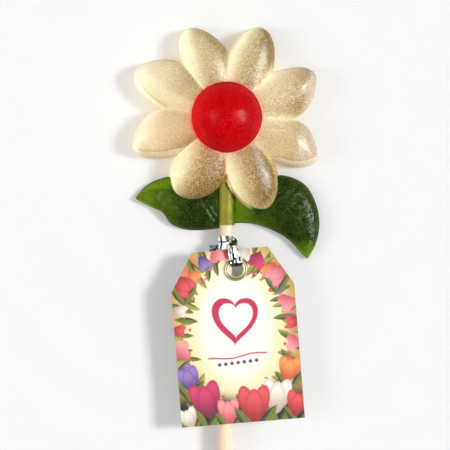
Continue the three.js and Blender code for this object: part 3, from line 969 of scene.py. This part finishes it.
def press_veins(greens):
    """Presses a middle vein with raised lips, and shallow waves, into each leaf's top."""
    place = coordinates(greens)
    x, y = place[:, 0], place[:, 1]
    near = np.minimum(distance_to(LEFT_VEIN, x, y), distance_to(RIGHT_VEIN, x, y))
    groove = VEIN_LIP * bell(near - 1.1, 0.4) - VEIN_DEPTH * bell(near, 0.45)
    groove *= 1 - 0.8 * fade(x, 18, 26)
    waves = np.sin(x * 1.1 + 0.9 * np.sin(y * 0.8)) * np.sin(y * 1.3 + 0.7 * np.sin(x * 0.6))
    top = fade(normals(greens)[:, 2], 0.3, 0.8) * fade(np.abs(x), STEM_RADIUS, STEM_RADIUS + 1)
    place[:, 2] += (groove + LEAF_WAVE * waves) * top
    greens.data.vertices.foreach_set("co", (place * MM).astype(np.float32).ravel())
    greens.data.update()


def stem_tint(colour, x, y, z, stem):
    """The pale stick showing through the stem, with painted shade along its crest and a painted
    highlight halfway along it, the notch at its top painted as shadow, the petals' candy at its top,
    and the seam on its right painted as shade."""
    crest = blend(linear(*STEM_CREST_SHADE), linear(*STEM_CREST_LIT), bell(y + 34.8, 2.6))
    shown = blend(linear(*STEM_COLOUR), crest, bell(x - 1, 1.2) * fade(-y, 27, 30))
    top = fade(z, 5, 6)
    notch = fade(x + 0.52 * (y + 25.3), -1.4, -0.4) * fade(y, -34, -31) * fade(-x, -4.4, -3.6)
    share = petal_share(PETALS[RIGHT_BY_STEM], x, y, PETAL_DRAFT - 0.9)
    foot = fade(1 - share, -0.02, 0.02) * fade(-x, -11, -8)
    lap = fade(y + 24.9 - 0.83 * x, -0.2, 0.3) * fade(-x, -0.7, 0) * fade(x, -4, -3.2)
    seam = bell(x - 3.2, 0.5) * fade(-y, 31, 34)
    return paint(blend(colour, shown, stem), (STEM_NOTCH_SHADOW, 0.95 * notch * top), (RIGHT_FOOT, foot * top),
                 (LEFT_LAP, lap * top), (STEM_SEAM_SHADE, 0.7 * seam * top))


def leaf_tint(greens):
    """Colours and a painted glow: yellow-green tips, a darker middle and rim, and the stem. The lighter
    green is painted light, and the rim where it faces -Y and the stem get a painted glow.
    """
    x, y, z = coordinates(greens).T
    left_lit = 0.5 * fade(-x, 12, 31) + 0.25 * fade(-x, 27, 31) + 0.12 * fade(9 + x, 0, 5)
    left_lit += 0.8 * fade(-x, 17, 23) * fade(y, -29, -25)
    right_lit = 0.05 + np.maximum(0.55 * fade(13 - x, 0, 8), 0.95 * fade(-y, 46, 54))
    right_lit += 0.25 * fade(-y, 36, 41) * fade(22 - x, 0, 8)
    wave = np.sin(x * 0.9 + 1.4 * np.sin(y * 0.5)) * np.sin(y * 0.8 + 1.1 * np.sin(x * 0.4))
    lit = np.clip(np.where(x < 0, left_lit, right_lit) + 0.05 * wave, 0, 1)
    rim = fade(3.6 - z, 0, 1.6)
    colour = paint(linear(*LEAF_DARK), (LEAF_LIT, lit),
                   (LEAF_RIM, 0.6 * rim * fade(y - 0.7 * np.abs(x), -50, -44)))
    stem = fade(-np.abs(x + 0.4), -3.2, -2.4) * fade(z, 6.3, 7.1)
    below = fade(-normals(greens)[:, 1], 0.3, 0.8)
    return stem_tint(colour, x, y, z, stem), 0.16 * rim * below + 0.1 * stem


def make_leaves():
    greens = leaf_piece("leaf_candy", LEFT_LEAF)
    combine(greens, leaf_piece("right_leaf", RIGHT_LEAF), "UNION")
    combine(greens, bar("stem", STEM_RADIUS, COLLAR_END_Y, STEM_END_Y, STEM_STEPS), "UNION")
    combine(greens, bore(-5, -60), "DIFFERENCE")
    press_veins(greens)
    smooth(greens, 40)
    tint(greens, *leaf_tint(greens))
    dress(greens, candy_material("green_candy"), "leaves")


# Stick.


def make_stick():
    """A chamfered dowel that is a little uneven round and along."""
    end = STICK_RADIUS - STICK_CHAMFER
    stations = [(end, STICK_TOP_Y), (STICK_RADIUS, STICK_TOP_Y - STICK_CHAMFER)]
    stations += [(STICK_RADIUS, y) for y in np.linspace(STICK_TOP_Y - 2, STICK_END_Y + 2, STICK_STEPS)]
    stations += [(STICK_RADIUS, STICK_END_Y + STICK_CHAMFER), (end, STICK_END_Y)]
    turns = circle(STICK_SIDES)
    rings = []
    for radius, y in stations:
        wobble = radius + 0.02 * np.sin(3 * turns + y / 40) + 0.015 * np.sin(7 * turns + y / 25)
        rings.append(stick_ring(wobble, turns, y))
    stick = stick_skin("wooden_stick", rings)
    smooth(stick, 40)
    dress(stick, wood_material(), "stick")


# Tag.


def tag_frame():
    """How the tag's own frame is turned, and its origin, the eyelet's middle."""
    lean = Euler((0, math.radians(TAG_LEAN), 0)).to_matrix()
    turn = Euler((0, 0, math.radians(TAG_TURN))).to_matrix()
    return np.array(lean @ turn), np.array(EYELET_PLACE)


def to_lollipop(points):
    """Places given in the tag's own frame."""
    turn, origin = tag_frame()
    return np.asarray(points) @ turn.T + origin


def in_tag(piece):
    """A piece's x, y and z in the tag's own frame."""
    turn, origin = tag_frame()
    return ((coordinates(piece) - origin) @ turn).T


def tag_grid():
    """Rows of points over the tag's front, from its lower edge up, drawn in above its shoulders."""
    below = np.linspace(-TAG_BELOW_EYELET, -TAG_SHOULDER_BELOW_EYELET, TAG_ROWS_BELOW)
    above = np.linspace(-TAG_SHOULDER_BELOW_EYELET, TAG_ABOVE_EYELET, TAG_ROWS_ABOVE)[1:]
    heights = np.concatenate([below, above])[:, None]
    rise = (heights + TAG_SHOULDER_BELOW_EYELET) / (TAG_ABOVE_EYELET + TAG_SHOULDER_BELOW_EYELET)
    drawn_in = (TAG_WIDTH - TAG_TOP_WIDTH) / 2 * np.clip(rise, 0, 1)
    across = np.linspace(0, 1, int(TAG_WIDTH / TAG_CELL) + 1)
    left = -TAG_LEFT_OF_EYELET - TAG_WIDTH / 2
    x = left + drawn_in + (TAG_WIDTH - 2 * drawn_in) * across
    return np.dstack([x, heights + 0 * x, 0 * x + TAG_THICKNESS])


def tag_sheet():
    """The tag without its hole: a fine grid in front, its edge, and one face behind."""
    grid = tag_grid()
    front = grid.reshape(-1, 3)
    index = np.arange(len(front)).reshape(grid.shape[:2])
    corners = (index[:-1, :-1], index[:-1, 1:], index[1:, 1:], index[1:, :-1])
    faces = np.column_stack([corner.ravel() for corner in corners]).tolist()
    loop = np.concatenate([index[0, :-1], index[:-1, -1], index[-1, :0:-1], index[:0:-1, 0]]).tolist()
    start = len(front)
    count = len(loop)
    for i in range(count):
        after = (i + 1) % count
        faces.append((loop[i], start + i, start + after, loop[after]))
    faces.append(tuple(range(start, start + count))[::-1])
    points = np.vstack([front, front[loop] * (1, 1, 0)])
    return turn_out(make_mesh("card_tag", to_lollipop(points), faces))


def make_tag():
    tag = tag_sheet()
    levels = (-2, 2)
    turns = circle(HOLE_SIDES)
    rings = [to_lollipop(flat_ring(EYELET_BARREL, turns, level)) for level in levels]
    hole = skin("hole", rings, *(to_lollipop([(0, 0, level)]) for level in levels))
    combine(tag, hole, "DIFFERENCE")
    tag.data.shade_flat()
    tint(tag, print_colours(*in_tag(tag)))
    dress(tag, card_material(), "tag")


# The tag's print: a cream field with an emblem, in a garland of leaves, buds, tulips and hearts.


def local(x, y, place, size, turn):
    """Coordinates about a motif's middle, in units of its size, turned with it."""
    return turned((x - place[0]) / size, (y - place[1]) / size, turn)


def inside(measure, size):
    """Cover of the places whose measure is under 1, with an edge PRINT_EDGE millimetres wide."""
    return np.clip((1 - measure) * size / PRINT_EDGE + 0.5, 0, 1)


def oval(u, v, half_width, half_height, lean=0):
    """Under 1 inside an oval."""
    along, across = turned(u, v, lean)
    return np.hypot(along / half_width, across / half_height)


def paint_leaf(colour, x, y, place, size, turn, light, dark):
    u, v = local(x, y, place, size, turn)
    width = 0.27 * np.clip(1 - v**2, 0, 1)
    cover = inside(np.abs(u) / np.maximum(width, 1e-6), size * 0.25) * (np.abs(v) < 1)
    tone = blend(light, dark, np.clip(0.5 - 2.2 * u, 0, 1) * fade(np.abs(u), 0.01, 0.05))
    return blend(colour, tone, cover)


def paint_tulip(colour, x, y, place, size, turn, light, dark):
    """Two leaning outer petals and one in front, each paler towards its tip."""
    u, v = local(x, y, place, size, turn)
    for middle, lean, half_width, lift in TULIP_PETALS:
        reach = oval(u - middle, v - lift, half_width, 0.9, lean)
        shade = fade(v - lift, -0.9, 0.75) * (0.55 + 0.45 * fade(1 - reach, 0, 0.35))
        colour = blend(colour, blend(dark, light, shade), inside(reach, size * 0.5))
    return colour


def heart_cover(u, v, size):
    reach = np.hypot(u, 1.15 * v - 0.75 * np.sqrt(np.abs(u)) + 0.25)
    return inside(reach, size * 0.7)


def paint_heart(colour, x, y, place, size, turn, light, dark):
    u, v = local(x, y, place, size, turn)
    tone = blend(dark, light, np.clip(0.5 + 0.4 * v - 0.5 * u, 0, 1))
    return blend(colour, tone, heart_cover(u, v, size))


def print_ground(x, y):
    """White in the middle, then pale yellow, then ochre with rose patches, and dark at the foot."""
    out = np.hypot((x - PRINT_MIDDLE_X) / 21, (y + 22) / 31)
    rose = fade(np.sin(x * 0.35 + 1) + np.cos(y * 0.3), 0.2, 1.4) * fade(out, 0.8, 1.1)
    return paint(linear(*PRINT_WHITE), (PRINT_YELLOW, fade(out, 0.5, 0.88)),
                 (PRINT_OCHRE, fade(out, 0.85, 1.2)), (PRINT_ROSE, 0.8 * rose),
                 (PRINT_DARK, fade(-y, 43, 52) * fade(out, 0.75, 1)))


def ring_place(ring, degrees, edge=1):
    """A place on one of the garland's rings, edge times as far out."""
    middle, half_width, half_height = ring[1:]
    a = math.radians(degrees)
    return PRINT_MIDDLE_X + half_width * edge * math.cos(a), middle + half_height * edge * math.sin(a)


def ring_turns(ring):
    """Each motif's number on a ring, and its direction."""
    return [(k, 360 * k / ring[0]) for k in range(ring[0])]


def print_garland(colour, x, y):
    """Rings of leaves, of buds, and of tulips and hearts, under the larger tulips and their leaves."""
    draw = np.random.default_rng(8)
    greens, blooms = ([(linear(*light), linear(*dark)) for light, dark in pairs]
                      for pairs in (PRINT_LEAVES, PRINT_BLOOMS))
    for k, turn in ring_turns(LEAF_RING):
        turn += draw.uniform(-5, 5)
        place = ring_place(LEAF_RING, turn, draw.uniform(0.8, 1.12))
        colour = paint_leaf(colour, x, y, place, draw.uniform(3, 5), turn + draw.uniform(60, 120),
                            *greens[k % 2])
    for k, turn in ring_turns(BUD_RING):
        turn += draw.uniform(-3, 3)
        place = ring_place(BUD_RING, turn, draw.uniform(0.78, 1.02))
        bud = oval(x - place[0], y - place[1], draw.uniform(0.4, 0.75), draw.uniform(0.4, 0.75))
        light, dark = blooms[k % 2]
        colour = blend(colour, blend(light, dark, np.clip(bud, 0, 1) ** 2), inside(bud, 0.6))
    for k, turn in ring_turns(BLOOM_RING):
        turn += 7
        size = 2.6 + 1.2 * draw.uniform(0, 1)
        painter = paint_heart if k % 3 == 1 else paint_tulip
        colour = painter(colour, x, y, ring_place(BLOOM_RING, turn), size, turn + 90,
                         *blooms[k % len(blooms)])
    for place, size, turn, kind in PRINT_TULIPS:
        for lean in (-34, 38):
            stem = (place[0] + size * 0.9 * math.sin(math.radians(lean)), place[1] - size * 0.9)
            colour = paint_leaf(colour, x, y, stem, size, -lean, *greens[1])
        colour = paint_tulip(colour, x, y, place, size, turn, *blooms[kind])
    return colour


def print_colours(x, y, z):
    """The print on the front, and plain card behind."""
    colour = print_emblem(print_garland(print_ground(x, y), x, y), x, y)
    return paint(colour, (CARD_BACK, fade(-z, -TAG_THICKNESS * 0.7, -TAG_THICKNESS * 0.2)))


def print_emblem(colour, x, y):
    """A raspberry heart ring over a thin swash and a row of plum dots."""
    outer, inner = (heart_cover(*local(x, y, place, size, EMBLEM_TURN), size)
                    for place, size in EMBLEM_HEARTS)
    line = np.abs(y + 33.5 - 0.05 * x - 0.5 * np.sin(x * 0.35))
    swash = inside(line / 0.28, 0.28) * fade(12 - np.abs(x + 2), 0, 1)
    colour = paint(colour, (EMBLEM_RASPBERRY, outer * (1 - inner)), (EMBLEM_RASPBERRY, swash))
    for k in range(EMBLEM_DOTS):
        dot = oval(x + 9.2 - 2.4 * k, y + 36.4 - 0.12 * k, 0.7, 0.7)
        colour = paint(colour, (EMBLEM_PLUM, inside(dot, 0.7)))
    return colour


# Eyelet.


def eyelet_profile():
    """Radius and height round the eyelet's section: under the tag, through its hole, and over its
    front in an outer and an inner roll."""
    front = TAG_THICKNESS
    barrel = EYELET_BARREL - 0.02
    profile = [(EYELET_HOLE, -0.55), (EYELET_HOLE + 0.1, -0.65), (EYELET_LIP - 0.1, -0.65),
               (EYELET_LIP, -0.5), (EYELET_LIP, -0.05), (barrel, -0.02), (barrel, front + 0.02),
               (EYELET_RADIUS - 0.1, front + 0.02), (EYELET_RADIUS, front + 0.15)]
    rolls = ((0.35, 0.35, 0.35, np.arange(1, 9) / 8), (1.15, 0.45, 0.55, np.arange(1, 10) / 10))
    for drawn_in, half_width, half_height, shares in rolls:
        for turn in math.pi * shares:
            profile.append((EYELET_RADIUS - drawn_in + half_width * math.cos(turn),
                            front + 0.45 + half_height * math.sin(turn)))
    return profile + [(EYELET_HOLE, front + 0.4)]


def make_eyelet():
    turns = circle(EYELET_SIDES)
    rings = [to_lollipop(flat_ring(radius, turns, height)) for radius, height in eyelet_profile()]
    eyelet = loop_of_rings("brass_eyelet", rings)
    smooth(eyelet, 40)
    x, y = in_tag(eyelet)[:2]
    # Painted shade in the grooves between the rolls and towards the tag's foot.
    from_rim = np.hypot(x, y) - EYELET_RADIUS
    groove = bell(from_rim + 0.7, 0.17) + bell(from_rim + 0.05, 0.16)
    tint(eyelet, paint(linear(*BRASS), (BRASS_LOW_SHADE, fade(-y, 0.5, 4.4)),
                       (BRASS_GROOVE_SHADE, np.clip(groove, 0, 0.95))))
    dress(eyelet, brass_material(), "eyelet")


# Tie.


def paint_facets(piece, shades, bright=FOIL_REFLECTED_BRIGHT):
    """Gives each flat facet one tone between dark and bright foil, a painted reflection, from a number
    for each face.
    """
    layer = piece.data.color_attributes.new(name="tint", type="FLOAT_COLOR", domain="CORNER")
    colours = blend(FOIL_REFLECTED_DARK, bright, np.asarray(shades, float))
    sides = [len(face.vertices) for face in piece.data.polygons]
    rgba = np.column_stack([colours, np.ones(len(colours))]).astype(np.float32)
    layer.data.foreach_set("color", np.repeat(rgba, sides, axis=0).ravel())
    piece.data.shade_flat()


def foil_band():
    """Foil wrapped round the stick and pressed in along its wire, with painted reflections: broad bright
    facets above and below the crease, which is painted dark."""
    draw = np.random.default_rng(3)
    rows = []
    for share, swell, lean in BAND_LEVELS:
        turns = np.radians(BAND_TURNS) + math.radians(lean)
        spread = BAND_RADIUS - 0.3 + swell + draw.uniform(-0.05, 0.12, len(turns))
        level = BAND_TOP_Y + 0.2 - (BAND_WIDTH + 0.4) * share + draw.uniform(-0.12, 0.12, len(turns))
        rows.append(stick_ring(spread, turns, level))
    for y in (BAND_TOP_Y - BAND_WIDTH, BAND_TOP_Y):
        rows.append(stick_ring(STICK_RADIUS + 0.08, turns, y))
    band = loop_of_rings("foil_band", rows)
    shades = [float(letter) / 9 for row in BAND_SHADES for letter in row]
    hidden = len(band.data.polygons) - len(shades)
    paint_facets(band, shades + [0.3] * hidden)
    return band


def foil_twist():
    """A small crumpled knot of foil on the band's right."""
    draw = np.random.default_rng(5)
    turns = circle(9)
    rings = []
    for k in range(1, 8):
        rise = math.pi * k / 8
        radius = math.sin(rise) * (1 + draw.uniform(-0.2, 0.25, len(turns)))
        ring = (radius * np.cos(turns), 0 * turns + math.cos(rise), radius * np.sin(turns))
        rings.append(np.column_stack(ring) * TWIST_HALF_SIZE)
    c, s = math.cos(math.radians(TWIST_TURN)), math.sin(math.radians(TWIST_TURN))
    spin = np.array(((c, s, 0), (-s, c, 0), (0, 0, 1)))
    ends = [np.array((0, half, 0)) for half in (TWIST_HALF_SIZE[1], -TWIST_HALF_SIZE[1])]
    rings = [ring @ spin + TWIST_PLACE for ring in rings]
    twist = skin("foil_twist", rings, *(end @ spin + TWIST_PLACE for end in ends))
    paint_facets(twist, draw.choice((0, 0.3, 0.6, 1, 1), len(twist.data.polygons)), FOIL_GOLD)
    return twist


def foil_strip(name, stations, steps, columns, crumple, bright_share, bright_steps, bright, seed):
    """A thin crumpled strip through stations of place, width and the direction of its width, with
    painted reflections as bright streaks along some of its steps."""
    draw = np.random.default_rng(seed)
    shares = np.linspace(0, 1, steps + 1)
    places = curve_points([place for place, width, lateral in stations], shares)
    widths = curve_points([width for place, width, lateral in stations], shares)[:, 1]
    stops = np.linspace(0, 1, len(stations))
    bands = np.array([lateral for place, width, lateral in stations]).T
    laterals = np.column_stack([np.interp(shares, stops, band) for band in bands])
    forward = np.gradient(places, axis=0)
    up = np.cross(forward, laterals)
    up /= np.linalg.norm(up, axis=1)[:, None]
    side = np.cross(up, forward)
    side /= np.linalg.norm(side, axis=1)[:, None]
    across = np.linspace(-0.5, 0.5, columns + 1)
    rings = []
    for k in range(steps + 1):
        spread = across + draw.uniform(-0.04, 0.04, len(across))
        lift = draw.uniform(-crumple, crumple, len(across))
        skin_line = places[k] + side[k] * (widths[k] * spread)[:, None] + up[k] * lift[:, None]
        rings.append(np.vstack([skin_line + up[k] * FOIL / 2, (skin_line - up[k] * FOIL / 2)[::-1]]))
    strip = skin(name, rings, rings[0].mean(0), rings[-1].mean(0))
    count = rings[0].shape[0]
    shades = []
    for i in range(count):
        shade = i % 2 == 0
        streak = []
        for k in range(steps):
            if draw.uniform() < STREAK_BREAK:
                shade = bright_share > draw.uniform()
            streak.append(shade * draw.uniform(0.8, 1) * (k in bright_steps))
        shades += [0, 0, *streak]
    paint_facets(strip, shades, bright)
    return strip


def make_tie():
    material = foil_material()
    along_x, along_y, along_z = (1, 0, 0), (0, 1, 0), (0, 0, 1)
    x, y = EYELET_PLACE[:2]
    over = EYELET_PLACE[2] + TAG_THICKNESS + 1.65
    under = STICK_AXIS_HEIGHT
    strap = (
        ((2.5, BAND_TOP_Y - 2.4, over - 1.6), 2.4, along_x),
        ((2.7, BAND_TOP_Y - 4, over - 0.9), 3.2, along_x),
        ((2.9, y + 7, over - 0.1), 3.8, along_x),
        ((x - 0.3, y + 4, over + 0.2), 4.8, along_x),
        ((x - 0.1, y + 2.2, over - 0.2), 5.2, along_x),
        ((x, y + 1.3, EYELET_PLACE[2]), 3.9, along_x),
        ((x + 0.6, y + 1.7, under + 1.6), 2.8, along_x),
        ((x + 1, y + 4.4, under + 0.5), 2.4, along_x),
        ((x + 0.7, y + 7.2, under + 0.3), 1.8, (0.7, 0, 0.7)),
        ((BAND_RADIUS + 0.1, BAND_TOP_Y - 3.4, under + 0.3), 1.6, along_z),
    )
    band_end = BAND_TOP_Y - BAND_WIDTH
    tail = (
        ((-2.8, band_end + 0.6, under - 0.2), 2, along_y),
        ((-4.4, band_end + 0.2, under), 2.4, along_y),
        ((-6.4, band_end, under + 0.4), 2.5, along_y),
    )
    pieces = (
        foil_band(),
        foil_twist(),
        foil_strip("foil_strap", strap, 26, 10, 0.25, 0.4, range(2, 11), FOIL_REFLECTED_BRIGHT, 11),
        foil_strip("foil_tail", tail, 5, 5, 0.3, 0.6, range(5), FOIL_SHADED, 12),
    )
    for piece in pieces:
        dress(piece, material, "tie")


# Stage.


def make_floor():
    corners = [(FLOOR_HALF * x, FLOOR_HALF * y, 0) for x, y in ((-1, -1), (1, -1), (1, 1), (-1, 1))]
    floor = make_mesh("floor", corners, [(0, 1, 2, 3)])
    made = Nodes("floor_paper")
    made.put(Base_Color=(FLOOR_SHADE, FLOOR_SHADE, FLOOR_SHADE, 1))
    made.put(Roughness=1.0, Specular_IOR_Level=0.0)
    floor.data.materials.append(made.material)


def make_sun(name, heading, elevation, power, size, mirrored):
    """A far lamp, which either shows in shiny surfaces or lights everything else."""
    lamp = bpy.data.lights.new(name, "SUN")
    lamp.energy = power
    lamp.angle = math.radians(size)
    sun = bpy.data.objects.new(name, lamp)
    sun.rotation_mode = "QUATERNION"
    sun.rotation_quaternion = heading_vector(heading, elevation).to_track_quat("Z", "Y")
    sun.visible_glossy = mirrored
    sun.visible_diffuse = not mirrored
    bpy.context.scene.collection.objects.link(sun)


def sky_ramp(tree, height, levels):
    """A level for each height in the sky, by stops."""
    ramp = tree.nodes.new("ShaderNodeValToRGB")
    stops = ramp.color_ramp.elements
    for place, level in levels[1:-1]:
        stops.new(place)
    for stop, (place, level) in zip(stops, levels):
        stop.position = place
        stop.color = (level, level, level, 1)
    tree.links.new(height, ramp.inputs["Fac"])
    return ramp.outputs["Color"]


def make_sky():
    world = bpy.data.worlds.new("studio")
    bpy.context.scene.world = world
    world.use_nodes = True
    tree = world.node_tree
    where = tree.nodes.new("ShaderNodeTexCoord")
    split = tree.nodes.new("ShaderNodeSeparateXYZ")
    rays = tree.nodes.new("ShaderNodeLightPath")
    choice = tree.nodes.new("ShaderNodeMix")
    choice.data_type = "RGBA"
    tree.links.new(where.outputs["Generated"], split.inputs[0])
    tree.links.new(rays.outputs["Is Glossy Ray"], choice.inputs[0])
    tree.links.new(sky_ramp(tree, split.outputs["Z"], SKY_LIGHT), choice.inputs[6])
    tree.links.new(sky_ramp(tree, split.outputs["Z"], SKY_MIRRORED), choice.inputs[7])
    tree.links.new(choice.outputs[2], tree.nodes["Background"].inputs["Color"])


def make_camera():
    data = bpy.data.cameras.new("camera")
    data.sensor_width = SENSOR_WIDTH
    data.lens = SENSOR_WIDTH * CAMERA_PLACE[2] / (PHOTO_PIXELS * MM_PER_PIXEL)
    camera = bpy.data.objects.new("camera", data)
    camera.location = Vector(CAMERA_PLACE) * MM
    camera.rotation_euler = (0, 0, math.radians(CAMERA_ROLL))
    bpy.context.scene.collection.objects.link(camera)
    bpy.context.scene.camera = camera


make_camera()
make_floor()
for name, lamp in LAMPS.items():
    make_sun(name, *lamp)
make_sky()
bpy.context.scene.view_settings.view_transform = "Standard"
make_petals()
make_dome()
make_leaves()
make_stick()
make_tag()
make_eyelet()
make_tie()
